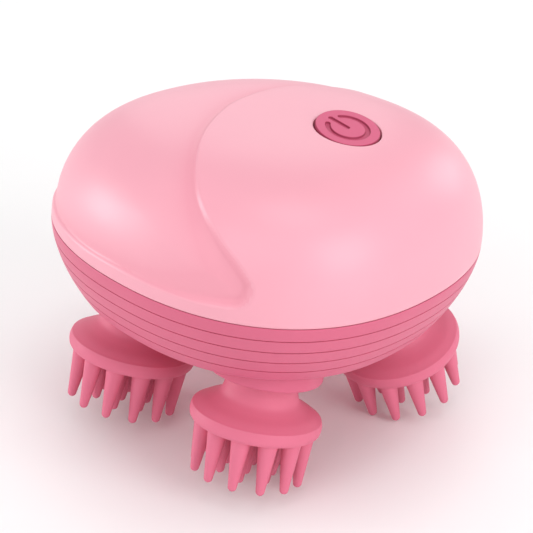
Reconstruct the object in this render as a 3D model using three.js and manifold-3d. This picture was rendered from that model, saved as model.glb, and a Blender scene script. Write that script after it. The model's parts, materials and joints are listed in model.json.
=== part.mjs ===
// Scalp massager brush: a palm-sized shell with four turning silicone heads, driven through gears
// by one motor. Millimetres, +Z up. The design frame has its origin midway between the four heads,
// at the height of their upper rims. The last lines move the whole group onto the floor.
import * as THREE from "three";
import { mergeVertices } from "three/addons/utils/BufferGeometryUtils.js";
import Module from "manifold-3d";

const wasm = await Module();
wasm.setup();

// ---- driving dimensions -------------------------------------------------------------------
const gap = 0.3; // between pieces that touch
const wall = 2.2; // moulded shell thickness

// Body: every level is a rounded, slightly egg-shaped section, and the levels lean and tilt a little.
const body = {
  halfX: 49.6,
  halfY: 52,
  power: 2.2, // 2 is an ellipse, more is squarer
  eggX: -0.104, // the +X side is shorter along Y
  eggY: -0.064, // the +Y side is narrower along X
  leanX: 0.01, // sideways shift per millimetre of height
  leanY: -0.128,
  leanFrom: 20,
  tiltX: -0.1, // rise of a level per millimetre along X
  tiltY: -0.03,
  partingZ: 32.2, // level of the widest section
  domeHeight: 31.3,
  bowlDepth: 42, // where the bowl's curve would close
  bowlPower: 1.6,
  edgeDepth: 18.2, // from the parting to the bowl's bottom edge
  floorZ: 13.2,
  edgeBreak: 0.02, // share by which the floor stops short of the bowl's bottom edge
};

// Heads: four, in two rows along Y. Each axis leans outward going down.
const head = {
  offsetX: 24,
  offsetY: 22,
  tiltAcross: 16, // degrees, between the rows
  tiltAlong: 2, // degrees, along a row
  rimRadius: 15.5,
  rimHeight: 3.4,
  rimBulge: 0.5,
  length: 16.63, // from the upper rim to the finger tips
  tipRingRadius: 12.9,
  rootRingRadius: 12.4,
  innerRingRadius: 6.6,
  fingerRootRadius: 2.4,
  fingerTipRadius: 1.1,
  neckRadius: 8.8,
  neckTop: 13,
  ringFingers: 12,
  innerFingers: 6,
};
const flarePoints = [[head.rimRadius, 0], [13.6, 1.2], [11.2, 2.5], [9.5, 4], [head.neckRadius, 6.4]];

// Heights along a head's axis, from its upper rim.
const collar = { radius: 14.1, bottom: 9.9, top: 20.6, mouthRadius: 9.3, mouthDepth: 3.5 };
const hub = { radius: 5.5, bottom: 1, top: 12.6 };
const shaft = { radius: 2.5, bottom: 1.4, top: 28 };
const seal = { radius: 7, bottom: 13.7, top: 15.4 };
const bush = { radius: 5, bottom: 15.7, top: 20.3 };

// Gears. Both rows turn through an idler whose bevel stage meets the motor pinion.
const gearing = {
  module: 1,
  face: 4,
  headTeeth: 24,
  idlerTeeth: 18,
  bevelTeeth: 21,
  pinionTeeth: 14,
  spurAt: 24, // middle of the spur gears along the tilted axes
  bevelAt: 30,
  boreRadius: 2.8,
  webWall: 2.5,
  addendum: 0.85, // tooth heights above and below the pitch circle, in modules
  dedendum: 1.15,
  tipShare: 0.12, // half widths of a tooth at its tip and root, as shares of the tooth spacing
  rootShare: 0.29,
};

const gasket = { clearShare: 0.008, widthShare: 0.045, height: 3 }; // shares of the body's section
const plate = { bottom: 36, thickness: 2.5, halfX: 38, halfY: 42 };
const posts = [[34, 0], [-34, 0], [0, 38], [0, -38]];
const post = { radius: 3.2, pilotRadius: 1.4, pilotDepth: 10 };
const contacts = { x: [-6, 6], y: 10, radius: 1.7, length: 5, recess: 0.2 };
const motor = { radius: 12, height: 17, shaftRadius: 1.5, shaftInCan: 3.5 };
const battery = { halfX: 18, nearY: 15, farY: 31, height: 7 };
const axle = { radius: gearing.boreRadius - gap, bottom: 20, top: 40.5 };
const screw = { shankRadius: 1.1, headRadius: 2.5, headHeight: 1.6, length: 8 };
const button = {
  centre: new THREE.Vector3(7.74, -19.95, 63.3),
  normal: new THREE.Vector3(0.1, -0.06, 0.993),
  longAxis: -122.6, // degrees in plan, the way the oval's long axis points
  halfWide: 7.64,
  halfLong: 9.71,
  flangeTop: -3.7,
  flangeBottom: -4.4,
  flangeExtra: 1.2,
  stemRadius: 2,
  stemBottom: -5.4,
};
const board = { x0: -3, x1: 19, y0: -30, y1: -13, bottom: 53.2, thickness: 1.2 };
const bracket = { thickness: 1.4, legRadius: 1.6, legInset: 2 };
const tact = { half: 3, baseHeight: 1.4, domeRadius: 1.6, domeTop: 2 };
const tray = { side: 1.8, end: 1.5, floor: 1.2, height: 4 };
const bite = 1; // how far a cut or a joined piece runs into or past its neighbour

// ---- materials ----------------------------------------------------------------------------
function plastic(color, roughness) {
  return new THREE.MeshStandardMaterial({ color, roughness, metalness: 0 });
}
function metal(color, roughness) {
  return new THREE.MeshStandardMaterial({ color, roughness, metalness: 1 });
}
const shellPink = plastic(0xffb8c8, 0.35);
const rosePink = plastic(0xde6c8c, 0.4);
const siliconePink = plastic(0xe87a98, 0.5);
const buttonPink = plastic(0xe26e92, 0.4);
const innerPlastic = plastic(0xf1ede6, 0.5);
const darkPlastic = plastic(0x3a3a3f, 0.5);
const sealRubber = plastic(0x55474c, 0.7);
const boardGreen = plastic(0x1f6b45, 0.5);
const batteryBlue = plastic(0x3f6fb5, 0.4);
const steel = metal(0xc3c6ca, 0.3);
const bronze = metal(0xb98a4e, 0.4);
const gold = metal(0xd9b25a, 0.3);

// ---- solids -------------------------------------------------------------------------------
function signedVolume(position, index) {
  const a = new THREE.Vector3();
  const b = new THREE.Vector3();
  const c = new THREE.Vector3();
  let volume = 0;
  for (let i = 0; i < index.length; i += 3) {
    a.fromBufferAttribute(position, index[i]);
    b.fromBufferAttribute(position, index[i + 1]);
    c.fromBufferAttribute(position, index[i + 2]);
    volume += a.dot(b.cross(c)) / 6;
  }
  return volume;
}

// Turns a closed three.js geometry into a manifold solid that faces out.
function solid(geometry) {
  const bare = geometry.clone();
  bare.deleteAttribute("normal");
  bare.deleteAttribute("uv");
  const merged = mergeVertices(bare, 1e-4);
  const corners = Array.from(merged.index.array);
  const triangles = [];
  for (let i = 0; i < corners.length; i += 3) {
    const [a, b, c] = corners.slice(i, i + 3);
    if (a !== b && b !== c && c !== a) triangles.push(a, b, c);
  }
  if (signedVolume(merged.attributes.position, triangles) < 0) triangles.reverse();
  return new wasm.Manifold(
    new wasm.Mesh({
      numProp: 3,
      vertProperties: new Float32Array(merged.attributes.position.array),
      triVerts: new Uint32Array(triangles),
    }),
  );
}

function geometryOf(shape) {
  const mesh = shape.getMesh();
  const geometry = new THREE.BufferGeometry();
  geometry.setAttribute("position", new THREE.BufferAttribute(new Float32Array(mesh.vertProperties), 3));
  geometry.setIndex(new THREE.BufferAttribute(new Uint32Array(mesh.triVerts), 1));
  geometry.computeVertexNormals();
  return geometry;
}

// A round bar along Z.
function bar(radius, bottom, top, sides = 16) {
  const geometry = new THREE.CylinderGeometry(radius, radius, top - bottom, sides);
  geometry.rotateX(Math.PI / 2);
  geometry.translate(0, 0, (bottom + top) / 2);
  return solid(geometry);
}

function ring(outer, inner, bottom, top, sides = 20) {
  return bar(outer, bottom, top, sides).subtract(bar(inner, bottom - bite, top + bite, sides));
}

function block(x0, x1, y0, y1, z0, z1) {
  const geometry = new THREE.BoxGeometry(x1 - x0, y1 - y0, z1 - z0);
  geometry.translate((x0 + x1) / 2, (y0 + y1) / 2, (z0 + z1) / 2);
  return solid(geometry);
}

// A turned solid about Z from [radius, height] pairs that start and end on the axis.
function turned(profile, sides) {
  const points = profile.map(([radius, height]) => new THREE.Vector2(radius, height));
  const geometry = new THREE.LatheGeometry(points, sides);
  geometry.rotateX(Math.PI / 2);
  return solid(geometry);
}

// A flat piece along Z with an outline of Vector2 points.
function slab(outline, bottom, top) {
  const depth = top - bottom;
  const geometry = new THREE.ExtrudeGeometry(new THREE.Shape(outline), { depth, bevelEnabled: false });
  geometry.translate(0, 0, bottom);
  return solid(geometry);
}

function oval(halfWide, halfLong, sides = 24) {
  const outline = [];
  for (let i = 0; i < sides; i += 1) {
    const angle = (2 * Math.PI * i) / sides;
    outline.push(new THREE.Vector2(halfWide * Math.cos(angle), halfLong * Math.sin(angle)));
  }
  return outline;
}

// ---- places -------------------------------------------------------------------------------
const up = new THREE.Vector3(0, 0, 1);
const degrees = Math.PI / 180;

// A frame whose +Z runs along the given direction, with its origin at the given point.
function placeAlong(origin, direction) {
  const turn = new THREE.Quaternion().setFromUnitVectors(up, direction.clone().normalize());
  return new THREE.Matrix4().compose(origin, turn, new THREE.Vector3(1, 1, 1));
}

// The four heads, named by the side they are on: front is -Y and left is -X.
const corners = [
  { name: "front_left", sideX: -1, sideY: -1 },
  { name: "back_left", sideX: -1, sideY: 1 },
  { name: "front_right", sideX: 1, sideY: -1 },
  { name: "back_right", sideX: 1, sideY: 1 },
];
for (const corner of corners) {
  const origin = new THREE.Vector3(corner.sideX * head.offsetX, corner.sideY * head.offsetY, 0);
  const across = -corner.sideX * Math.tan(head.tiltAcross * degrees);
  const along = -corner.sideY * Math.tan(head.tiltAlong * degrees);
  corner.place = placeAlong(origin, new THREE.Vector3(across, along, 1));
}
const rows = [
  { name: "left", sideX: -1 },
  { name: "right", sideX: 1 },
];
for (const row of rows) {
  const origin = new THREE.Vector3(row.sideX * head.offsetX, 0, 0);
  row.place = placeAlong(origin, new THREE.Vector3(-row.sideX * Math.tan(head.tiltAcross * degrees), 0, 1));
}

function placed(shape, matrix) {
  return shape.transform(matrix.elements);
}

// ---- the body's surface -------------------------------------------------------------------
// How far a rounded section of unit size reaches in a direction.
function sectionReach(angle) {
  const cos = Math.abs(Math.cos(angle));
  const sin = Math.abs(Math.sin(angle));
  return (cos ** body.power + sin ** body.power) ** (-1 / body.power);
}

// A point of the body: direction in plan, share of the full section, and level before the tilt.
function bodyPoint(angle, share, level) {
  const cos = Math.cos(angle);
  const sin = Math.sin(angle);
  const reach = sectionReach(angle);
  const planX = reach * cos * (1 + body.eggY * reach * sin);
  const planY = reach * sin * (1 + body.eggX * planX);
  const lift = level - body.leanFrom;
  const x = body.leanX * lift + body.halfX * share * planX;
  const y = body.leanY * lift + body.halfY * share * planY;
  return new THREE.Vector3(x, y, level + body.tiltX * x + body.tiltY * y);
}

// Turns a closed profile of [share, level] pairs about the body's middle.
function bodySolid(profile, sides) {
  const points = profile.map(([share, level]) => new THREE.Vector2(share, level));
  const geometry = new THREE.LatheGeometry(points, sides);
  const position = geometry.attributes.position;
  for (let i = 0; i < position.count; i += 1) {
    const share = Math.hypot(position.getX(i), position.getZ(i));
    const angle = Math.atan2(position.getZ(i), position.getX(i));
    const point = bodyPoint(angle, share, position.getY(i));
    position.setXYZ(i, point.x, point.y, point.z);
  }
  return solid(geometry);
}

const inset = wall / ((body.halfX + body.halfY) / 2); // wall thickness as a share of the section

// The dome from the apex to the parting: share = sqrt(sin(angle)), level = height * cos(angle).
function domeProfile(steps, thickness, shareInset, endLevel) {
  const profile = [];
  for (let i = 0; i <= steps; i += 1) {
    const angle = (Math.PI / 2) * (i / steps);
    const level = body.partingZ + (body.domeHeight - thickness) * Math.cos(angle);
    profile.push([Math.sqrt(Math.sin(angle)) * (1 - shareInset), i === steps ? endLevel : level]);
  }
  return profile;
}

function bowlShare(depth) {
  return Math.sqrt(1 - (depth / body.bowlDepth) ** body.bowlPower);
}

const domeSteps = 8;
const bowlSteps = 5;
const shellSides = 36;

function floorAt(x, y) {
  return body.floorZ + body.tiltX * x + body.tiltY * y;
}

// The button's own frame: +Z out of the shell, +Y along the oval's long axis.
function buttonFrame() {
  const turn = new THREE.Matrix4().makeRotationZ((button.longAxis - 90) * degrees);
  return placeAlong(button.centre, button.normal).multiply(turn);
}
const buttonPlace = buttonFrame();

function topShell() {
  const outer = domeProfile(domeSteps, 0, 0, body.partingZ + gap / 2);
  const inner = domeProfile(domeSteps - 2, wall, inset, body.partingZ + gap / 2);
  const shell = bodySolid([...outer, ...inner.reverse()], shellSides);
  const reach = 4 * wall;
  const hole = slab(oval(button.halfWide + gap, button.halfLong + gap), -reach, reach);
  return shell.subtract(placed(hole, buttonPlace));
}

function bowl() {
  const outer = [];
  const inner = [];
  for (let i = 0; i <= bowlSteps; i += 1) {
    const depth = Math.max((body.edgeDepth * i) / bowlSteps, gap / 2);
    outer.push([bowlShare(depth), body.partingZ - depth]);
    inner.push([bowlShare(depth) - inset, Math.max(body.partingZ - depth, body.floorZ + wall)]);
  }
  const floorShare = bowlShare(body.edgeDepth) - body.edgeBreak;
  outer.push([floorShare, body.floorZ], [0, body.floorZ]);
  return bodySolid([...outer, [0, body.floorZ + wall], ...inner.reverse(), outer[0]], shellSides);
}

// A collar stands below the floor where the floor is high, and is let into it where it is low.
function withCollar(shell, place) {
  const { radius, bottom, top, mouthRadius, mouthDepth } = collar;
  const cuts = [
    bar(radius, bottom - radius, bottom, 24),
    bar(mouthRadius, bottom - bite, bottom + mouthDepth, 20),
    bar(seal.radius + gap, bottom, seal.top + gap, 16),
    bar(bush.radius + gap, seal.top, top + bite, 16),
  ];
  let result = shell.add(placed(bar(radius, bottom, top, 24), place));
  for (const cut of cuts) result = result.subtract(placed(cut, place));
  return result;
}

function withPost(shell, x, y) {
  const top = plate.bottom - gap;
  const pillar = bar(post.radius, floorAt(x, y) + wall / 2, top, 16);
  const pilot = bar(post.pilotRadius, top - post.pilotDepth, top + bite, 12);
  return shell.add(pillar.subtract(pilot).translate([x, y, 0]));
}

function contactPlace(x) {
  const normal = new THREE.Vector3(-body.tiltX, -body.tiltY, 1);
  return placeAlong(new THREE.Vector3(x, contacts.y, floorAt(x, contacts.y)), normal);
}

function lowerShell() {
  let shell = bowl();
  for (const corner of corners) shell = withCollar(shell, corner.place);
  for (const [x, y] of posts) shell = withPost(shell, x, y);
  for (const x of contacts.x) {
    const hole = bar(contacts.radius + gap, -wall, 2 * wall, 16);
    shell = shell.subtract(placed(hole, contactPlace(x)));
  }
  return shell;
}

function shellSeal() {
  const outer = 1 - inset - gasket.clearShare;
  const inner = outer - gasket.widthShare;
  const low = body.partingZ - gasket.height / 2;
  const high = body.partingZ + gasket.height / 2;
  return bodySolid([[inner, low], [outer, low], [outer, high], [inner, high], [inner, low]], shellSides);
}

function powerButton() {
  const cap = slab(oval(button.halfWide, button.halfLong), button.flangeTop - gap, 0);
  const flangeOutline = oval(button.halfWide + button.flangeExtra, button.halfLong + button.flangeExtra);
  const flange = slab(flangeOutline, button.flangeBottom, button.flangeTop);
  const stem = bar(button.stemRadius, button.stemBottom, button.flangeBottom + gap, 12);
  return cap.add(flange).add(stem);
}

// ---- heads --------------------------------------------------------------------------------
// One finger, from inside the disc to its round tip, between two rings of the given radii.
function finger(angle, rootRing, tipRing) {
  const rootHeight = 1 - head.rimHeight;
  const root = new THREE.Vector3(rootRing * Math.cos(angle), rootRing * Math.sin(angle), rootHeight);
  const tip = new THREE.Vector3(tipRing * Math.cos(angle), tipRing * Math.sin(angle), -head.length);
  const length = root.distanceTo(tip);
  const { fingerRootRadius: rootRadius, fingerTipRadius: tipRadius } = head;
  const profile = [
    [0, 0],
    [rootRadius, 0],
    [tipRadius, length - tipRadius / 2],
    [0, length],
  ];
  return placed(turned(profile, 6), placeAlong(root, tip.sub(root)));
}

// The flare from the rim up to the neck, as a smooth curve.
const flare = new THREE.SplineCurve(flarePoints.map(([radius, height]) => new THREE.Vector2(radius, height)));

function massageHead() {
  const rise = flare.getPoints(5).map((point) => [point.x, point.y]);
  const rim = [
    [0, -head.rimHeight],
    [head.rimRadius, -head.rimHeight],
    [head.rimRadius + head.rimBulge, -head.rimHeight / 2],
  ];
  const profile = [...rim, ...rise, [head.neckRadius, head.neckTop], [0, head.neckTop]];
  let shape = turned(profile, 24);
  for (let i = 0; i < head.ringFingers; i += 1) {
    const angle = (2 * Math.PI * i) / head.ringFingers;
    shape = shape.add(finger(angle, head.rootRingRadius, head.tipRingRadius));
  }
  for (let i = 0; i < head.innerFingers; i += 1) {
    const angle = (2 * Math.PI * (i + 0.5)) / head.innerFingers;
    shape = shape.add(finger(angle, head.innerRingRadius, head.innerRingRadius));
  }
  shape = shape.add(finger(0, 0, 0));
  return shape.subtract(bar(hub.radius + gap, hub.bottom - gap, head.neckTop + 1, 16));
}

// ---- gears --------------------------------------------------------------------------------
// A gear about Z, centred on z = 0. apexDistance tapers a bevel gear towards a point above it.
function gear({ teeth, module, phase = 0, apexDistance = Infinity, bore }) {
  const step = (2 * Math.PI) / teeth;
  const pitchRadius = (teeth * module) / 2;
  const rootRadius = pitchRadius - gearing.dedendum * module;
  const tipRadius = pitchRadius + gearing.addendum * module;
  const { tipShare, rootShare } = gearing;
  const flanks = [
    [-rootShare, rootRadius],
    [-tipShare, tipRadius],
    [tipShare, tipRadius],
    [rootShare, rootRadius],
  ];
  const outline = [];
  for (let i = 0; i < teeth; i += 1) {
    for (const [share, radius] of flanks) {
      const angle = (i + phase + share) * step;
      outline.push(new THREE.Vector2(radius * Math.cos(angle), radius * Math.sin(angle)));
    }
  }
  const blank = slab(outline, -gearing.face / 2, gearing.face / 2);
  const tapered = blank.warp((vertex) => {
    const scale = 1 - vertex[2] / apexDistance;
    vertex[0] *= scale;
    vertex[1] *= scale;
  });
  return tapered.subtract(bar(bore, -gearing.face, gearing.face, 16));
}

// The bevel stage: the row axes and the motor's axis meet in one point above the motor.
const shaftAngle = head.tiltAcross * degrees;
const toothRatio = gearing.pinionTeeth / gearing.bevelTeeth;
const bevelCone = Math.atan(Math.sin(shaftAngle) / (toothRatio + Math.cos(shaftAngle)));
const pinionCone = shaftAngle - bevelCone;
const bevelApex = head.offsetX / Math.sin(shaftAngle) - gearing.bevelAt;
const coneDistance = bevelApex / Math.cos(bevelCone);
const pinionApex = coneDistance * Math.cos(pinionCone);
const pinionZ = head.offsetX / Math.tan(shaftAngle) - pinionApex;
const bevelModule = (2 * coneDistance * Math.sin(bevelCone)) / gearing.bevelTeeth;

function headGear() {
  const spur = gear({ teeth: gearing.headTeeth, module: gearing.module, bore: shaft.radius + gap });
  return spur.translate([0, 0, gearing.spurAt]);
}

// The right row meets the pinion on its -X side, so its bevel stage is turned by half a tooth.
function idler(sideX) {
  const bore = gearing.boreRadius;
  const spur = gear({ teeth: gearing.idlerTeeth, module: gearing.module, bore });
  const phase = sideX < 0 ? 0 : 0.5;
  const bevel = gear({
    teeth: gearing.bevelTeeth,
    module: bevelModule,
    phase,
    apexDistance: bevelApex,
    bore,
  });
  const web = ring(bore + gearing.webWall, bore, gearing.spurAt, gearing.bevelAt, 16);
  return spur.translate([0, 0, gearing.spurAt]).add(bevel.translate([0, 0, gearing.bevelAt])).add(web);
}

function motorPinion() {
  const bore = motor.shaftRadius + gap;
  const pinion = gear({
    teeth: gearing.pinionTeeth,
    module: bevelModule,
    phase: 0.5,
    apexDistance: pinionApex,
    bore,
  });
  return pinion.translate([0, 0, pinionZ]);
}

// ---- gear plate and what stands on it -----------------------------------------------------
const plateTop = plate.bottom + plate.thickness;
const seatZ = plateTop + gap;

function gearPlate() {
  const outline = [];
  for (let i = 0; i < shellSides; i += 1) {
    const angle = (2 * Math.PI * i) / shellSides;
    const x = plate.halfX * sectionReach(angle) * Math.cos(angle);
    const y = plate.halfY * sectionReach(angle) * Math.sin(angle);
    outline.push(new THREE.Vector2(x, y));
  }
  let shape = slab(outline, plate.bottom, plateTop);
  shape = shape.subtract(bar(motor.shaftRadius + 1, plate.bottom - bite, plateTop + bite, 16));
  const axleHole = bar(gearing.boreRadius, axle.top - 10, axle.top + 5, 16);
  for (const row of rows) shape = shape.subtract(placed(axleHole, row.place));
  for (const [x, y] of posts) {
    const hole = bar(screw.shankRadius + gap, plate.bottom - bite, plateTop + bite, 12);
    shape = shape.subtract(hole.translate([x, y, 0]));
  }
  return shape;
}

function plateScrew(x, y) {
  const shank = bar(screw.shankRadius, seatZ - screw.length, seatZ + gap, 10);
  return shank.add(bar(screw.headRadius, seatZ, seatZ + screw.headHeight, 14)).translate([x, y, 0]);
}

function motorCan() {
  const can = bar(motor.radius, seatZ, seatZ + motor.height, 32);
  return can.subtract(bar(motor.shaftRadius + gap, seatZ - bite, seatZ + motor.shaftInCan + gap, 16));
}

function motorShaft() {
  return bar(motor.shaftRadius, pinionZ - gearing.face / 2, seatZ + motor.shaftInCan, 16);
}

function batteryTray() {
  const { halfX, nearY, farY } = battery;
  const { side, end, floor, height } = tray;
  const outer = block(-halfX - side, halfX + side, nearY - end, farY + end, seatZ, seatZ + height);
  const top = seatZ + height + bite;
  return outer.subtract(block(-halfX - gap, halfX + gap, nearY - gap, farY + gap, seatZ + floor, top));
}

function batteryCell() {
  const bottom = seatZ + tray.floor + gap;
  return block(-battery.halfX, battery.halfX, battery.nearY, battery.farY, bottom, bottom + battery.height);
}

function boardBracket() {
  const top = board.bottom - gap;
  const { x0, x1, y0, y1 } = board;
  const { thickness, legRadius, legInset } = bracket;
  let shape = block(x0, x1, y0, y1, top - thickness, top);
  const legs = [[x0 + legInset, y0 + legInset], [x1 - legInset, y0 + legInset], [x1 - legInset, y1 - legInset]];
  for (const [x, y] of legs) shape = shape.add(bar(legRadius, seatZ, top - bite, 12).translate([x, y, 0]));
  return shape;
}

function circuitBoard() {
  return block(board.x0, board.x1, board.y0, board.y1, board.bottom, board.bottom + board.thickness);
}

function tactSwitch() {
  const bottom = board.bottom + board.thickness + gap;
  const { x, y } = button.centre.clone().addScaledVector(button.normal, button.stemBottom);
  const { half, baseHeight, domeRadius, domeTop } = tact;
  const base = block(x - half, x + half, y - half, y + half, bottom, bottom + baseHeight);
  return base.add(bar(domeRadius, bottom + baseHeight - gap, bottom + domeTop, 14).translate([x, y, 0]));
}

// ---- assembly -----------------------------------------------------------------------------
const group = new THREE.Group();

function addPart(name, shape, material, place = new THREE.Matrix4()) {
  const mesh = new THREE.Mesh(geometryOf(shape), material);
  mesh.name = name;
  mesh.applyMatrix4(place);
  group.add(mesh);
}

addPart("top_shell", topShell(), shellPink);
addPart("lower_shell", lowerShell(), rosePink);
addPart("shell_seal", shellSeal(), sealRubber);
addPart("power_button", powerButton(), buttonPink, buttonPlace);

const headShape = massageHead();
const hubShape = ring(hub.radius, shaft.radius + gap, hub.bottom, hub.top, 16);
const shaftShape = bar(shaft.radius, shaft.bottom, shaft.top, 16);
const sealShape = ring(seal.radius, shaft.radius + gap, seal.bottom, seal.top, 16);
const bushShape = ring(bush.radius, shaft.radius + gap, bush.bottom, bush.top, 16);
const headGearShape = headGear();
for (const { name, place } of corners) {
  addPart(`massage_head_${name}`, headShape, siliconePink, place);
  addPart(`head_hub_${name}`, hubShape, innerPlastic, place);
  addPart(`head_shaft_${name}`, shaftShape, steel, place);
  addPart(`head_gear_${name}`, headGearShape, innerPlastic, place);
  addPart(`shaft_seal_${name}`, sealShape, sealRubber, place);
  addPart(`shaft_bush_${name}`, bushShape, bronze, place);
}

for (const { name, sideX, place } of rows) {
  addPart(`idler_gear_${name}`, idler(sideX), innerPlastic, place);
  addPart(`idler_axle_${name}`, bar(axle.radius, axle.bottom, axle.top, 16), steel, place);
}

addPart("gear_plate", gearPlate(), darkPlastic);
for (const [i, [x, y]] of posts.entries()) addPart(`plate_screw_${i + 1}`, plateScrew(x, y), steel);
addPart("motor_can", motorCan(), steel);
addPart("motor_shaft", motorShaft(), steel);
addPart("motor_pinion", motorPinion(), bronze);
addPart("battery_tray", batteryTray(), darkPlastic);
addPart("battery_cell", batteryCell(), batteryBlue);
addPart("board_bracket", boardBracket(), darkPlastic);
addPart("circuit_board", circuitBoard(), boardGreen);
addPart("tact_switch", tactSwitch(), darkPlastic);
for (const [i, x] of contacts.x.entries()) {
  const pin = bar(contacts.radius, contacts.recess, contacts.length, 16);
  addPart(`charging_contact_${i + 1}`, pin, gold, contactPlace(x));
}

// The row's origin is the middle of the assembly's footprint, on the floor.
const box = new THREE.Box3().setFromObject(group, true);
const middle = box.getCenter(new THREE.Vector3());
group.position.set(-middle.x, -middle.y, -box.min.z);
group.updateMatrixWorld(true);

export default group;
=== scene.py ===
"""Scalp massager brush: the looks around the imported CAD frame.

Lengths are in millimetres until a mesh is made.
"""

import json
import math

import bmesh
import bpy
import numpy
from mathutils import Matrix, Vector, kdtree
from mathutils.bvhtree import BVHTree


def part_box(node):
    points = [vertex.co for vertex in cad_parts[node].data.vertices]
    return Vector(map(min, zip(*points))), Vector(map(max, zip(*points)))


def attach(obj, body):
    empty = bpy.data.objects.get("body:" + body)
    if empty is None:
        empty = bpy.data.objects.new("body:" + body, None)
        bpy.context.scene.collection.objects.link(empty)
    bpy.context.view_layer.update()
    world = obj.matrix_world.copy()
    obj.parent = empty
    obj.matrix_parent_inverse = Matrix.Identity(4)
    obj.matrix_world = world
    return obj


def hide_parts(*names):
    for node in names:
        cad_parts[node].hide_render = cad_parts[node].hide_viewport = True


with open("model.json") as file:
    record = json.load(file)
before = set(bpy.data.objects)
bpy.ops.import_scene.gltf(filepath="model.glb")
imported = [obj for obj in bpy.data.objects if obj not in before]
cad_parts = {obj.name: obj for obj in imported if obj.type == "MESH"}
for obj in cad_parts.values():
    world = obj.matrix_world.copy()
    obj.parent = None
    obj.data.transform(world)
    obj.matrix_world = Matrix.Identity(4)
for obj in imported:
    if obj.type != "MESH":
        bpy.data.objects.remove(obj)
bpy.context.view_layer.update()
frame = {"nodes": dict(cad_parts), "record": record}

MM = 0.001
CORNERS = [("front_left", -1, -1), ("back_left", -1, 1), ("front_right", 1, -1), ("back_right", 1, 1)]

# ---- shape, as in the CAD source ------------------------------------------------------------
HALF_X, HALF_Y = 49.6, 52.0  # the widest section's half extents
POWER = 2.2  # 2 is an ellipse, more is squarer
EGG_X, EGG_Y = -0.104, -0.064
LEAN_X, LEAN_Y, LEAN_FROM = 0.01, -0.128, 20.0
TILT_X, TILT_Y = -0.1, -0.03
PARTING, DOME, BOWL, BOWL_POWER = 32.2, 31.3, 42.0, 1.6
EDGE_DEPTH, FLOOR, WALL, GAP = 18.2, 13.2, 2.2, 0.3
GROOVES, GROOVE_PITCH, GROOVE_DEPTH, GROOVE_HALF = 4, 3.78, 0.35, 0.14

HEAD_X, HEAD_Y, TILT_ACROSS, TILT_ALONG = 24.0, 22.0, 16.0, 2.0
RIM, RIM_HEIGHT, HEAD_LENGTH, NECK, NECK_TOP = 15.5, 3.4, 16.63, 8.8, 13.0
COLLAR, COLLAR_BOTTOM, COLLAR_TOP, MOUTH, MOUTH_DEPTH = 14.1, 9.9, 20.6, 9.3, 3.5
SEAL_SEAT, BUSH_SEAT, SEAT_TOP = 7.3, 5.3, 15.6  # radii in a collar, and the height where they meet
PLATE_BOTTOM = 36.0
POSTS, POST_RADIUS, PILOT_RADIUS, PILOT_DEPTH = [(34, 0), (-34, 0), (0, 38), (0, -38)], 3.2, 1.4, 10.0
CONTACTS, CONTACT_RADIUS = [(-6, 10), (6, 10)], 1.7

# The design frame's origin is midway between the heads. The gear plate is centred on it.
plate_low, plate_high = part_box("gear_plate")
ORIGIN = (Vector(plate_low) + Vector(plate_high)) / 2
ORIGIN.z = plate_low[2] - PLATE_BOTTOM * MM


def smoothstep(low, high, value):
    t = min(max((value - low) / (high - low), 0.0), 1.0)
    return t * t * (3 - 2 * t)


def body_point(angle, share, level):
    """A point of the body: direction in plan, share of the full section, and level before the tilt."""
    cos, sin = math.cos(angle), math.sin(angle)
    reach = (abs(cos) ** POWER + abs(sin) ** POWER) ** (-1 / POWER)
    plan_x = reach * cos * (1 + EGG_Y * reach * sin)
    plan_y = reach * sin * (1 + EGG_X * plan_x)
    lift = level - LEAN_FROM
    x = LEAN_X * lift + HALF_X * share * plan_x
    y = LEAN_Y * lift + HALF_Y * share * plan_y
    return Vector((x, y, level + TILT_X * x + TILT_Y * y))


def dome_point(angle, way):
    """A point of the dome, from the apex at way 0 to the parting at way 1."""
    turn = way * math.pi / 2
    return body_point(angle, math.sqrt(math.sin(turn)), PARTING + DOME * math.cos(turn))


def bowl_share(depth):
    return math.sqrt(1 - (depth / BOWL) ** BOWL_POWER)


def head_place(side_x, side_y):
    """The frame of a head: +Z up its axis, with its origin at the upper rim."""
    across = -side_x * math.tan(math.radians(TILT_ACROSS))
    along = -side_y * math.tan(math.radians(TILT_ALONG))
    turn = Vector((0, 0, 1)).rotation_difference(Vector((across, along, 1)).normalized())
    return Matrix.Translation((side_x * HEAD_X, side_y * HEAD_Y, 0)) @ turn.to_matrix().to_4x4()


# ---- mesh helpers ---------------------------------------------------------------------------
def finish_piece(name, bm, body, sharp=40.0):
    """Makes a piece of a bmesh in the design frame, in millimetres, and lets it ride on a body."""
    bmesh.ops.remove_doubles(bm, verts=bm.verts, dist=1e-4)
    bmesh.ops.recalc_face_normals(bm, faces=bm.faces)
    bmesh.ops.transform(bm, matrix=Matrix.Translation(ORIGIN) @ Matrix.Scale(MM, 4), verts=bm.verts)
    mesh = bpy.data.meshes.new(name)
    bm.to_mesh(mesh)
    bm.free()
    mesh.shade_smooth()
    mesh.set_sharp_from_angle(angle=math.radians(sharp))
    piece = bpy.data.objects.new(name, mesh)
    bpy.context.scene.collection.objects.link(piece)
    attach(piece, body)
    return piece


def add_rings(bm, rings, closed=False):
    """Joins rings of points into a skin. closed also joins the last ring to the first."""
    made = [[bm.verts.new(point) for point in ring] for ring in rings]
    pairs = list(zip(made, made[1:]))
    if closed:
        pairs.append((made[-1], made[0]))
    for lower, upper in pairs:
        count = len(lower)
        for i in range(count):
            j = (i + 1) % count
            bm.faces.new((lower[i], lower[j], upper[j], upper[i]))
    return made


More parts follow.
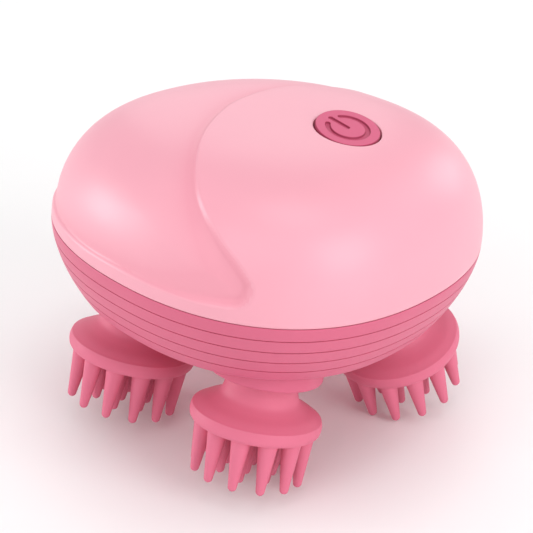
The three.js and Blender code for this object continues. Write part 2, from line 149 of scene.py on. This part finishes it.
def turned(bm, profile, place, sides):
    """Adds a solid turned about the place's +Z from (radius, height) pairs."""
    rings = []
    for radius, height in profile:
        ring = []
        for i in range(sides):
            angle = 2 * math.pi * i / sides
            reach = max(radius, 1e-3)
            ring.append(place @ Vector((reach * math.cos(angle), reach * math.sin(angle), height)))
        rings.append(ring)
    made = add_rings(bm, rings)
    bm.faces.new(made[0])
    bm.faces.new(list(reversed(made[-1])))


def arc(centre, radius, start, end, steps):
    """Points of an arc in a profile, with angles in degrees."""
    points = []
    for i in range(steps + 1):
        angle = math.radians(start + (end - start) * i / steps)
        points.append((centre[0] + radius * math.cos(angle), centre[1] + radius * math.sin(angle)))
    return points


def smooth_curve(points, steps):
    """Catmull-Rom points through a list of points."""
    padded = [points[0]] + list(points) + [points[-1]]
    curve = []
    for p0, p1, p2, p3 in zip(padded, padded[1:], padded[2:], padded[3:]):
        for i in range(steps):
            t = i / steps
            point = []
            for a, b, c, d in zip(p0, p1, p2, p3):
                square = 2 * a - 5 * b + 4 * c - d
                cube = 3 * b - a - 3 * c + d
                point.append(0.5 * (2 * b + (c - a) * t + square * t**2 + cube * t**3))
            curve.append(tuple(point))
    curve.append(tuple(points[-1]))
    return curve


def apply_cut(piece, cutter):
    """Cuts one object out of another and removes the cutter."""
    modifier = piece.modifiers.new("cut", "BOOLEAN")
    modifier.operation = "DIFFERENCE"
    modifier.solver = "EXACT"
    modifier.object = cutter
    graph = bpy.context.evaluated_depsgraph_get()
    mesh = bpy.data.meshes.new_from_object(piece.evaluated_get(graph))
    piece.modifiers.clear()
    piece.data = mesh
    bpy.data.objects.remove(cutter)


# ---- relief on the top shell ----------------------------------------------------------------
# The relief's outline as (direction in degrees, share of the surface's length from the apex down to the
# parting). The leaf-shaped hollow lies on the -X side: its upper edge and its tip come first, and an arc
# above the parting leads back from ARC_FROM to ARC_TO degrees.
LEAF_EDGE = [
    (-2, 0.85), (4, 0.68), (15, 0.48), (42, 0.32), (85, 0.21), (134, 0.20), (168, 0.31), (184, 0.44),
    (196, 0.59), (206, 0.72), (213, 0.81), (216, 0.87), (213, 0.915), (200, 0.93), (185, 0.935),
]
ARC_SHARE, ARC_FROM, ARC_TO, ARC_STEP = 0.94, 168, 24, 16
LEAF_END = (2, 0.915)
# LEAF_SHADE is the length, scaled by the fullness, over which the painted shade inside the step fades into
# the leaf.
LEAF_DEPTH, LEAF_STEP, LEAF_FADE, LEAF_SHADE = 1.5, 1.9, 15.0, 5.0
LEAF_TIP, LEAF_LEAST, LEAF_SPREAD = (216, 0.89), 0.45, 20.0
LIP_HEIGHT, LIP_WIDTH = 0.1, 0.45


def surface_table():
    """Ways from the apex to the parting, and the share of the surface's length down to each."""
    ways = [i / 2000 for i in range(2001)]
    points = [dome_point(0.8, way) for way in ways]
    lengths = [0.0]
    for a, b in zip(points, points[1:]):
        lengths.append(lengths[-1] + (b - a).length)
    return ways, [length / lengths[-1] for length in lengths]


WAYS, SHARES = surface_table()


def way_down(share):
    """The way of the point that lies that share of the surface's length below the apex."""
    return float(numpy.interp(share, SHARES, WAYS))


def leaf_points():
    """The outline as many close (direction, way) points, with directions in radians."""
    arc_back = [(angle, ARC_SHARE) for angle in range(ARC_FROM, ARC_TO - 1, -ARC_STEP)]
    flat = []
    for angle, share in LEAF_EDGE + arc_back + [LEAF_END]:
        flat.append((share * math.cos(math.radians(angle)), share * math.sin(math.radians(angle))))
    curve = smooth_curve(flat + flat[:1], 80)[:-1]
    return [(math.atan2(y, x), way_down(math.hypot(x, y))) for x, y in curve]


def in_leaf(spots, outline):
    """Whether each (direction, way) spot of the dome lies inside the outline."""
    spots, outline = numpy.array(spots), numpy.array(outline)
    x, y = spots[:, 1] * numpy.cos(spots[:, 0]), spots[:, 1] * numpy.sin(spots[:, 0])
    corner_x, corner_y = outline[:, 1] * numpy.cos(outline[:, 0]), outline[:, 1] * numpy.sin(outline[:, 0])
    inside = numpy.zeros(len(spots), dtype=bool)
    for x0, y0, x1, y1 in zip(corner_x, corner_y, numpy.roll(corner_x, -1), numpy.roll(corner_y, -1)):
        if y0 == y1:
            continue
        crosses = (y0 > y) != (y1 > y)
        inside ^= crosses & (x < x0 + (y - y0) * (x1 - x0) / (y1 - y0))
    return inside


def leaf_fullness(point, tip):
    """How full the relief is at a point of the dome: 1 at the leaf's tip, less along its far edges."""
    away = (point - tip).length / LEAF_SPREAD
    return LEAF_LEAST + (1 - LEAF_LEAST) * math.exp(-away * away)


def leaf_shade(inward, full):
    """How much painted shade darkens the colour inside the moulding's step, by the distance inside the
    outline and the fullness there.
    """
    start = smoothstep(0.1, 0.7, LEAF_STEP * full + inward)
    return full * start * math.exp(-max(inward, 0.0) / (LEAF_SHADE * full))


def leaf_drop(inward, full):
    """How deep the surface lies, by the distance inside the outline and the fullness there: a narrow
    slope between two fine lips, then a slow rise back to the dome."""
    step = LEAF_STEP * full
    corner = step / 4
    inside = step + inward
    slope = min(max(inside / step, 0.0), 1.0)
    slope += (smoothstep(-corner, step + corner, inside) - slope) * 0.5
    upper, lower = (inside + corner) / LIP_WIDTH, (inward - corner) / LIP_WIDTH
    lips = math.exp(-upper * upper) + math.exp(-lower * lower)
    depth = LEAF_DEPTH * slope * math.exp(-max(inward, 0.0) / (LEAF_FADE * full))
    return full * (depth - LIP_HEIGHT * lips)


# ---- shells ---------------------------------------------------------------------------------
SIDES = 440
DOME_ROWS = 200
FOOT_ROUND = [(0.004, 0.5), (0.011, 0.12), (0.02, 0.0)]  # share inwards, height above the floor


def top_shell():
    outline = leaf_points()
    tree = kdtree.KDTree(len(outline))
    for i, (angle, way) in enumerate(outline):
        tree.insert(dome_point(angle, way), i)
    tree.balance()
    angles = [2 * math.pi * i / SIDES for i in range(SIDES)]
    ways = [way_down((i + 1) / DOME_ROWS) for i in range(DOME_ROWS)]
    inside = in_leaf([(angle, way) for way in ways for angle in angles], outline).reshape(len(ways), SIDES)
    centre = body_point(0, 0, PARTING)
    tip = dome_point(math.radians(LEAF_TIP[0]), way_down(LEAF_TIP[1]))
    rings, shades = [], []
    for way, row in zip(ways, inside):
        ring = []
        for angle, within in zip(angles, row):
            point = dome_point(angle, way)
            _, _, distance = tree.find(point)
            inward = distance if within else -distance
            full = leaf_fullness(point, tip)
            ring.append(point + (centre - point).normalized() * leaf_drop(inward, full))
            shades.append(leaf_shade(inward, full))
        rings.append(ring)
    inset = WALL / ((HALF_X + HALF_Y) / 2)
    edge = PARTING + GAP / 6
    rings[-1] = [body_point(angle, 0.9965, edge) for angle in angles]
    rings[-2] = [body_point(angle, 0.9995, edge + 0.25) for angle in angles]
    for i in range(24, 0, -1):
        turn = math.pi / 2 * i / 24
        level = edge if i == 24 else PARTING + (DOME - WALL) * math.cos(turn)
        share = math.sqrt(math.sin(turn)) * (1 - inset)
        rings.append([body_point(angle, share, level) for angle in angles])
    bm = bmesh.new()
    # Painted shade: each vertex gets a value that darkens the colour on the step and inside it, where shade
    # falls.
    painted_shade = bm.verts.layers.float.new("painted_shade")
    made = add_rings(bm, rings)
    for vertex, shade in zip((vertex for ring in made for vertex in ring), shades):
        vertex[painted_shade] = shade
    bm.faces.new(made[0])
    bm.faces.new(list(reversed(made[-1])))
    return finish_piece("top_shell_skin", bm, "housing")


def bowl_rows():
    """(depth, inward drop) rows down the bowl, with a fine groove at each pitch."""
    rows = [(GAP / 3, 0.1), (GAP / 2 + 0.1, 0.02)]
    for k in range(GROOVES + 1):
        start = GROOVE_PITCH * k + (GROOVE_HALF if k else GAP / 2 + 0.4)
        end = GROOVE_PITCH * (k + 1) - GROOVE_HALF if k < GROOVES else EDGE_DEPTH
        rows += [(start + (end - start) * i / 5, 0.0) for i in range(6)]
        if k < GROOVES:
            middle = GROOVE_PITCH * (k + 1)
            rows += [(middle - GROOVE_HALF / 2, GROOVE_DEPTH), (middle + GROOVE_HALF / 2, GROOVE_DEPTH)]
    return rows


def lower_shell():
    angles = [2 * math.pi * i / SIDES for i in range(SIDES)]
    middle = (HALF_X + HALF_Y) / 2
    inset = WALL / middle
    rows = [(bowl_share(depth) - drop / middle, PARTING - depth) for depth, drop in bowl_rows()]
    edge = bowl_share(EDGE_DEPTH)
    rows += [(edge - inward, FLOOR + height) for inward, height in FOOT_ROUND]
    rows += [(share, FLOOR) for share in (0.7, 0.5, 0.3, 0.1)]
    inside = [(share, FLOOR + WALL) for share in (0.1, 0.4, 0.7)]
    for i in range(10, -1, -1):
        depth = max((EDGE_DEPTH - WALL) * i / 10, GAP / 2)
        inside.append((bowl_share(depth) - inset, PARTING - depth))
    bm = bmesh.new()
    outer = add_rings(bm, [[body_point(a, share, level) for a in angles] for share, level in rows])
    inner = add_rings(bm, [[body_point(a, share, level) for a in angles] for share, level in inside])
    bm.faces.new(outer[-1])
    bm.faces.new(inner[0])
    for i in range(SIDES):
        j = (i + 1) % SIDES
        bm.faces.new((outer[0][i], outer[0][j], inner[-1][j], inner[-1][i]))
    piece = finish_piece("lower_shell_skin", bm, "housing", sharp=30)
    reach = COLLAR - 0.05  # the skin laps a little into each collar
    for _, side_x, side_y in CORNERS:
        cut = bmesh.new()
        turned(cut, [(reach, COLLAR_BOTTOM - 14), (reach, COLLAR_TOP + 2)], head_place(side_x, side_y), 96)
        apply_cut(piece, finish_piece("cutter", cut, "housing"))
    for x, y in CONTACTS:
        cut = bmesh.new()
        radius = CONTACT_RADIUS + GAP
        profile = [(radius + 0.3, -1), (radius + 0.3, 0), (radius, 0.3), (radius, WALL + 1)]
        turned(cut, profile, floor_place(x, y), 48)
        apply_cut(piece, finish_piece("cutter", cut, "housing"))
    piece.data.set_sharp_from_angle(angle=math.radians(30))
    return piece


def floor_place(x, y):
    """A frame on the bowl's floor, with +Z into the body."""
    turn = Vector((0, 0, 1)).rotation_difference(Vector((-TILT_X, -TILT_Y, 1)).normalized())
    return Matrix.Translation((x, y, FLOOR + TILT_X * x + TILT_Y * y)) @ turn.to_matrix().to_4x4()


def screw_posts():
    """The lower shell's four posts, with the pilot holes that the gear plate's screws bite into."""
    bm = bmesh.new()
    top = PLATE_BOTTOM - GAP
    for x, y in POSTS:
        foot = FLOOR + TILT_X * x + TILT_Y * y + WALL / 2
        profile = [(POST_RADIUS, foot), (POST_RADIUS, top - 0.3), (POST_RADIUS - 0.3, top)]
        profile += [(PILOT_RADIUS + 0.3, top), (PILOT_RADIUS, top - 0.3), (PILOT_RADIUS, top - PILOT_DEPTH)]
        turned(bm, profile, Matrix.Translation((x, y, 0)), 48)
    return finish_piece("screw_posts", bm, "housing")


def collar(name, side_x, side_y):
    """A collar of the lower shell, with its mouth, its seal's seat and its bush's seat."""
    bottom, top = COLLAR_BOTTOM, COLLAR_TOP
    profile = [(COLLAR, top)] + arc((COLLAR - 0.6, bottom + 0.6), 0.6, 0, -90, 5)
    profile += arc((MOUTH + 0.4, bottom + 0.4), 0.4, -90, -180, 4)
    profile += [(MOUTH, bottom + MOUTH_DEPTH), (SEAL_SEAT, bottom + MOUTH_DEPTH), (SEAL_SEAT, SEAT_TOP)]
    profile += [(BUSH_SEAT, SEAT_TOP), (BUSH_SEAT, top)]
    place = head_place(side_x, side_y)
    rings = []
    for radius, height in profile:
        rings.append([
            place @ Vector((radius * math.cos(a), radius * math.sin(a), height))
            for a in (2 * math.pi * i / 96 for i in range(96))
        ])
    bm = bmesh.new()
    add_rings(bm, rings, closed=True)
    return finish_piece(f"collar_{name}", bm, "housing")


# ---- heads ----------------------------------------------------------------------------------
FLARE = [(13.6, 1.2), (11.2, 2.5), (9.5, 4.0), (NECK, 6.4)]
RIM_BULGE = 0.5
SOCKET, SOCKET_BOTTOM = 5.8, 0.7  # the bore that the stiff insert fills
FINGER_ROOT, FINGER_TIP, FINGER_FILLET = 2.4, 1.08, 0.5
TIP_LIFT = 0.05  # keeps the round of a leaning tip above the floor
# Each ring of fingers: how many, first direction in degrees, radius at the disc, radius at the tips
FINGER_RINGS = [(12, 0, 12.4, 12.9), (6, 30, 6.6, 6.6), (1, 0, 0, 0)]


def add_finger(bm, place, angle, root_ring, tip_ring):
    """One blunt finger with a small fillet where it leaves the disc."""
    root = Vector((root_ring * math.cos(angle), root_ring * math.sin(angle), -RIM_HEIGHT))
    tip = Vector((tip_ring * math.cos(angle), tip_ring * math.sin(angle), -HEAD_LENGTH))
    turn = Vector((0, 0, 1)).rotation_difference((tip - root).normalized())
    local = place @ Matrix.Translation(root) @ turn.to_matrix().to_4x4()
    length = (tip - root).length
    fillet = FINGER_FILLET
    low, high = fillet, length - FINGER_TIP - TIP_LIFT
    profile = [(FINGER_ROOT + fillet, -fillet)]
    profile += arc((FINGER_ROOT + fillet, fillet), fillet, 270, 185, 4)
    for i in range(1, 7):
        profile.append((FINGER_ROOT + (FINGER_TIP - FINGER_ROOT) * i / 7, low + (high - low) * i / 7))
    profile += arc((0, high), FINGER_TIP, 5, 90, 8)
    turned(bm, profile, local, 32)


def massage_head(name, side_x, side_y):
    place = head_place(side_x, side_y)
    low = -RIM_HEIGHT
    profile = [(3, low), (RIM - 1.5, low), (RIM - 0.5, low)]
    profile += arc((RIM - 0.35, low + 0.55), 0.55, -90, -10, 5)
    for i in range(1, 8):
        share = i / 8
        radius = RIM + 0.2 + (RIM_BULGE - 0.2) * math.sin(math.pi * share)
        profile.append((radius, low * (1 - share) + 0.2 - 0.4 * share))
    profile += arc((RIM - 0.1, -0.3), 0.3, 0, 60, 4)
    profile += smooth_curve([(RIM - 0.3, 0.15)] + FLARE, 8)
    profile += [(NECK, 9.5), (NECK, NECK_TOP - 0.5), (NECK - 0.5, NECK_TOP)]
    profile += [(SOCKET, NECK_TOP), (SOCKET, SOCKET_BOTTOM)]
    bm = bmesh.new()
    turned(bm, profile, place, 128)
    for count, first, root_ring, tip_ring in FINGER_RINGS:
        for i in range(count):
            add_finger(bm, place, math.radians(first + 360 / count * i), root_ring, tip_ring)
    return finish_piece(f"silicone_head_{name}", bm, f"head_{name}", sharp=50)


# ---- power button ---------------------------------------------------------------------------
BUTTON_CENTRE = Vector((7.74, -19.95, 63.3))
BUTTON_NORMAL = Vector((0.1, -0.06, 0.993)).normalized()
BUTTON_WIDE, BUTTON_LONG, BUTTON_AXIS = 7.64, 9.71, -122.6
SYMBOL_RADIUS, SYMBOL_HALF, BAR_HALF, SYMBOL_DEPTH = 4.65, 0.62, 0.6, 0.5
SYMBOL_WALL = (-0.14, 0.06)  # where the engraving's wall starts and ends, from its outline
BAR_FROM, BAR_PAST = 0.1, 0.3  # the bar's ends, from the centre and past the ring's radius
FACE_DEPTH = 1.5  # the cap's face, its engraving and its edge lie within this depth
EDGE_SHADE = 0.5  # the painted shade value of the cap's rounded edge, which lies in its gap where shade falls
FLANGE, FLANGE_TOP, FLANGE_BOTTOM = 1.2, -3.7, -4.4
STEM, STEM_BOTTOM = 2.0, -5.4
CAP_ROUND = 0.3  # how far the cap's rim drops over its rounded edge
SYMBOL_GAP_AT = -54.0  # in the button's frame, where +Y is the oval's long axis
SYMBOL_GAP = 31.0


def button_place():
    turn = Vector((0, 0, 1)).rotation_difference(BUTTON_NORMAL).to_matrix().to_4x4()
    spin = Matrix.Rotation(math.radians(BUTTON_AXIS - 90), 4, "Z")
    return Matrix.Translation(BUTTON_CENTRE) @ turn @ spin


HOLE_BOTTOM = -12.0
HOLE_LIP = [(0.0, -0.35), (0.1, -0.12), (0.35, 0.02), (0.5, 2.0)]  # past the gap, above the surface


def cut_button_hole(shell):
    """Cuts the oval hole, with a small rounded lip that follows the shell's surface."""
    tree = BVHTree.FromObject(shell, bpy.context.evaluated_depsgraph_get())
    place = button_place()
    to_row = Matrix.Translation(ORIGIN) @ Matrix.Scale(MM, 4)
    down = (place.to_3x3() @ Vector((0, 0, -1))).normalized()

    def ring(extra, height_of):
        points = []
        for i in range(96):
            angle = 2 * math.pi * i / 96
            x = (BUTTON_WIDE + extra) * math.cos(angle)
            y = (BUTTON_LONG + extra) * math.sin(angle)
            hit, _, _, _ = tree.ray_cast(to_row @ (place @ Vector((x, y, 20))), down)
            surface = (place.inverted() @ (to_row.inverted() @ hit)).z
            points.append(place @ Vector((x, y, height_of(surface))))
        return points

    bm = bmesh.new()
    rings = [ring(GAP, lambda surface: HOLE_BOTTOM)]
    rings += [ring(GAP + past, lambda surface, rise=rise: surface + rise) for past, rise in HOLE_LIP]
    made = add_rings(bm, rings)
    bm.faces.new(made[0])
    bm.faces.new(list(reversed(made[-1])))
    apply_cut(shell, finish_piece("cutter", bm, "housing"))
    shell.data.set_sharp_from_angle(angle=math.radians(35))


def symbol_drop(x, y):
    """How deep the engraved power symbol lies at a spot of the button."""
    radius = math.hypot(x, y)
    angle = math.degrees(math.atan2(y, x)) - SYMBOL_GAP_AT
    angle = (angle + 180) % 360 - 180
    ring = abs(radius - SYMBOL_RADIUS)
    if abs(angle) < SYMBOL_GAP:
        end = math.radians(SYMBOL_GAP_AT + math.copysign(SYMBOL_GAP, angle))
        ring = math.hypot(x - SYMBOL_RADIUS * math.cos(end), y - SYMBOL_RADIUS * math.sin(end))
    line = math.radians(SYMBOL_GAP_AT)
    along = x * math.cos(line) + y * math.sin(line)
    across = -x * math.sin(line) + y * math.cos(line)
    bar = math.hypot(across, along - min(max(along, BAR_FROM), SYMBOL_RADIUS + BAR_PAST))
    edge = min(ring - SYMBOL_HALF, bar - BAR_HALF)
    return SYMBOL_DEPTH * (1 - smoothstep(*SYMBOL_WALL, edge))


def power_button():
    place = button_place()
    sides, rows = 240, 84
    rings = []
    for i in range(1, rows + 1):
        share = i / rows
        ring = []
        for j in range(sides):
            angle = 2 * math.pi * j / sides
            x, y = BUTTON_WIDE * share * math.cos(angle), BUTTON_LONG * share * math.sin(angle)
            edge = smoothstep(0.965, 1.0, share) * CAP_ROUND
            ring.append(place @ Vector((x, y, -edge - symbol_drop(x, y * BUTTON_WIDE / BUTTON_LONG))))
        rings.append(ring)
    for extra, height in [(0.0, FLANGE_TOP), (FLANGE, FLANGE_TOP), (FLANGE, FLANGE_BOTTOM)]:
        wide, long = BUTTON_WIDE + extra, BUTTON_LONG + extra
        rings.append([
            place @ Vector((wide * math.cos(a), long * math.sin(a), height))
            for a in (2 * math.pi * j / sides for j in range(sides))
        ])
    bm = bmesh.new()
    made = add_rings(bm, rings)
    bm.faces.new(made[0])
    bm.faces.new(list(reversed(made[-1])))
    turned(bm, [(STEM, STEM_BOTTOM), (STEM, FLANGE_BOTTOM + 0.1)], place, 32)
    piece = finish_piece("button_cap", bm, "button", sharp=60)
    # Painted shade: the engraving's walls and floor, and the rounded edge in the cap's gap, get a value
    # that darkens their colour where shade falls.
    painted_shade = piece.data.attributes.new("painted_shade", "FLOAT", "POINT")
    back = place.inverted()
    for vertex, value in zip(piece.data.vertices, painted_shade.data):
        spot = back @ ((vertex.co - ORIGIN) / MM)
        if spot.z > -FACE_DEPTH:
            share = math.hypot(spot.x / BUTTON_WIDE, spot.y / BUTTON_LONG)
            edge = EDGE_SHADE * smoothstep(0.965, 0.995, share)
            value.value = max(edge, symbol_drop(spot.x, spot.y * BUTTON_WIDE / BUTTON_LONG) / SYMBOL_DEPTH)
    return piece


# ---- materials ------------------------------------------------------------------------------
def linear(*srgb):
    """A colour given as 0-255 screen values, as the renderer's linear values."""
    shares = [c / 255 for c in srgb]
    return tuple(c / 12.92 if c <= 10 / 255 else ((c + 0.055) / 1.055) ** 2.4 for c in shares) + (1.0,)


CLOUD_SCALE, GRAIN_HEIGHT, ROUGHNESS_SPREAD = 40.0, 0.0002, 0.04


def material(name, colour, roughness, metallic=0.0, grain=900.0, bump=0.05, vary=0.03, coat=0.0,
             specular=0.5):
    """A moulded, turned or cast surface: slow colour clouds, fine grain in roughness and height."""
    made = bpy.data.materials.new(name)
    made.use_nodes = True
    nodes, links = made.node_tree.nodes, made.node_tree.links
    shader = nodes["Principled BSDF"]
    shader.inputs["Metallic"].default_value = metallic
    shader.inputs["Specular IOR Level"].default_value = specular
    shader.inputs["Coat Weight"].default_value = coat
    shader.inputs["Coat Roughness"].default_value = 0.25
    place = nodes.new("ShaderNodeTexCoord").outputs["Object"]

    clouds = nodes.new("ShaderNodeTexNoise")
    clouds.inputs["Scale"].default_value = CLOUD_SCALE
    clouds.inputs["Detail"].default_value = 3
    links.new(place, clouds.inputs["Vector"])
    tone = nodes.new("ShaderNodeMix")
    tone.data_type = "RGBA"
    tone.inputs["A"].default_value = tuple(c * (1 - vary) for c in colour[:3]) + (1,)
    tone.inputs["B"].default_value = tuple(min(c * (1 + vary), 1) for c in colour[:3]) + (1,)
    links.new(clouds.outputs["Fac"], tone.inputs["Factor"])
    links.new(tone.outputs["Result"], shader.inputs["Base Color"])

    fine = nodes.new("ShaderNodeTexNoise")
    fine.inputs["Scale"].default_value = grain
    fine.inputs["Detail"].default_value = 4
    links.new(place, fine.inputs["Vector"])
    rough = nodes.new("ShaderNodeMapRange")
    rough.inputs["To Min"].default_value = roughness - ROUGHNESS_SPREAD
    rough.inputs["To Max"].default_value = roughness + ROUGHNESS_SPREAD
    links.new(fine.outputs["Fac"], rough.inputs["Value"])
    links.new(rough.outputs["Result"], shader.inputs["Roughness"])
    height = nodes.new("ShaderNodeBump")
    height.inputs["Strength"].default_value = bump
    height.inputs["Distance"].default_value = GRAIN_HEIGHT
    links.new(fine.outputs["Fac"], height.inputs["Height"])
    links.new(height.outputs["Normal"], shader.inputs["Normal"])
    return made


def paint_recess_shade(made, wall_shade_tint, floor_shade_tint):
    """Paints shade: multiplies the colour where a piece's painted-shade value rises, halfway by one tint,
    at full by another.
    """
    nodes, links = made.node_tree.nodes, made.node_tree.links
    shader = nodes["Principled BSDF"]
    depth = nodes.new("ShaderNodeAttribute")
    depth.attribute_name = "painted_shade"
    ramp = nodes.new("ShaderNodeValToRGB")
    stops = ramp.color_ramp.elements
    stops[0].color = (1, 1, 1, 1)
    stops[1].color = floor_shade_tint + (1,)
    for position, tint in [(0.25, wall_shade_tint), (0.8, wall_shade_tint)]:
        stops.new(position).color = tint + (1,)
    links.new(depth.outputs["Fac"], ramp.inputs["Fac"])
    mix = nodes.new("ShaderNodeMix")
    mix.data_type = "RGBA"
    mix.blend_type = "MULTIPLY"
    mix.inputs["Factor"].default_value = 1
    links.new(shader.inputs["Base Color"].links[0].from_socket, mix.inputs["A"])
    links.new(ramp.outputs["Color"], mix.inputs["B"])
    links.new(mix.outputs["Result"], shader.inputs["Base Color"])


def wear(name, *pieces):
    """Gives the pieces one finish."""
    for piece in pieces:
        piece.data.materials.clear()
        piece.data.materials.append(FINISH[name])


FINISH = {
    "light_shell": material("light_shell", linear(238, 164, 180), 0.42, coat=0.1),
    "rose_shell": material("rose_shell", linear(212, 102, 131), 0.42, specular=0.3),
    "silicone": material("silicone", linear(222, 114, 141), 0.55, grain=1400, bump=0.08, specular=0.35),
    "button": material("button", linear(212, 95, 129), 0.5, specular=0.2),
    "inner_plastic": material("inner_plastic", linear(236, 230, 218), 0.5),
    "dark_plastic": material("dark_plastic", linear(58, 58, 63), 0.5, bump=0.12),
    "seal_rubber": material("seal_rubber", linear(80, 70, 74), 0.7, bump=0.1),
    "steel": material("steel", linear(190, 193, 197), 0.32, metallic=1.0, grain=2500, bump=0.04),
    "bronze": material("bronze", linear(184, 138, 78), 0.4, metallic=1.0, grain=2500),
    "battery_wrap": material("battery_wrap", linear(63, 111, 181), 0.35, coat=0.3),
    "circuit_board": material("circuit_board", linear(31, 107, 69), 0.45, grain=1600),
    "contact_gold": material("contact_gold", linear(217, 178, 90), 0.28, metallic=1.0, grain=2500),
}

# Painted shade on the top shell, on the leaf's step and inside it.
paint_recess_shade(FINISH["light_shell"], wall_shade_tint=(0.97, 0.88, 0.9), floor_shade_tint=(0.95, 0.82, 0.85))
# Painted shade on the button's engraving and on its edge in the gap.
paint_recess_shade(FINISH["button"], wall_shade_tint=(0.5, 0.3, 0.36), floor_shade_tint=(0.82, 0.7, 0.74))


# ---- building -------------------------------------------------------------------------------
shell_skin = top_shell()
cut_button_hole(shell_skin)
bowl_skin = lower_shell()
collars = [collar(*corner) for corner in CORNERS]
posts = screw_posts()
cap = power_button()
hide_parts("top_shell")
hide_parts("lower_shell")
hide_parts("power_button")
wear("light_shell", shell_skin)
wear("rose_shell", bowl_skin, posts, *collars)
wear("button", cap)
for corner in CORNERS:
    silicone = massage_head(*corner)
    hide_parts(f"massage_head_{corner[0]}")
    wear("silicone", silicone)

slots = {entry["node"]: entry["material_slot"] for entry in frame["record"]["subparts"]}
for node, obj in frame["nodes"].items():
    wear(slots[node], obj)

# ---- stage, light and camera ----------------------------------------------------------------
SKY_STRENGTH, FLOOR_HALF = 0.62, 3.0

scene = bpy.context.scene
scene.view_settings.view_transform = "Standard"

world = bpy.data.worlds.new("studio")
scene.world = world
world.use_nodes = True
sky = world.node_tree.nodes["Background"]
sky.inputs["Color"].default_value = (1, 1, 1, 1)
sky.inputs["Strength"].default_value = SKY_STRENGTH

floor_mesh = bpy.data.meshes.new("floor")
corners = [(x * FLOOR_HALF, y * FLOOR_HALF, 0) for x, y in [(-1, -1), (1, -1), (1, 1), (-1, 1)]]
floor_mesh.from_pydata(corners, [], [(0, 1, 2, 3)])
floor = bpy.data.objects.new("floor", floor_mesh)
scene.collection.objects.link(floor)
floor_mesh.materials.append(material("floor", (0.95, 0.95, 0.95, 1), 0.8, vary=0.005))


LIGHT_DISTANCE, LIGHT_AIM = 0.9, 0.05
# Each light: name, azimuth and elevation in degrees, size in metres, power in watts
LIGHTS = [
    ("key", 4, 24, 0.55, 3.2),
    ("left", -80, 35, 0.6, 1.4),
    ("back_left", -148, 5, 0.34, 2.8),
    ("back", 138, 20, 0.5, 0.8),
    ("right", 90, 12, 0.35, 1.0),
    ("top", 0, 82, 0.5, 1.6),
]


def softbox(name, azimuth, elevation, size, power):
    """A soft area light that looks at the object from that direction."""
    turn_a, turn_e = math.radians(azimuth), math.radians(elevation)
    cos = math.cos(turn_e)
    way = Vector((math.sin(turn_a) * cos, -math.cos(turn_a) * cos, math.sin(turn_e)))
    lamp = bpy.data.lights.new(name, "AREA")
    lamp.size = size
    lamp.energy = power
    holder = bpy.data.objects.new(name, lamp)
    holder.location = way * LIGHT_DISTANCE + Vector((0, 0, LIGHT_AIM))
    holder.rotation_euler = (-way).to_track_quat("-Z", "Y").to_euler()
    scene.collection.objects.link(holder)


for light in LIGHTS:
    softbox(*light)

CAMERA_AZIMUTH, CAMERA_ELEVATION, CAMERA_DISTANCE = -44.4, 30.0, 613.6
TARGET = Vector((0.37, -0.29, 20.61))
FOCAL_SHARE = 2500 / 533  # focal length as a share of the frame's width


def add_camera():
    azimuth, elevation = math.radians(CAMERA_AZIMUTH), math.radians(CAMERA_ELEVATION)
    cos = math.cos(elevation)
    back = Vector((math.sin(azimuth) * cos, -math.cos(azimuth) * cos, math.sin(elevation)))
    data = bpy.data.cameras.new("camera")
    data.sensor_width = 36
    data.lens = 36 * FOCAL_SHARE
    camera = bpy.data.objects.new("camera", data)
    camera.location = ORIGIN + (TARGET + back * CAMERA_DISTANCE) * MM
    camera.rotation_euler = back.to_track_quat("Z", "Y").to_euler()
    scene.collection.objects.link(camera)
    scene.camera = camera


add_camera()
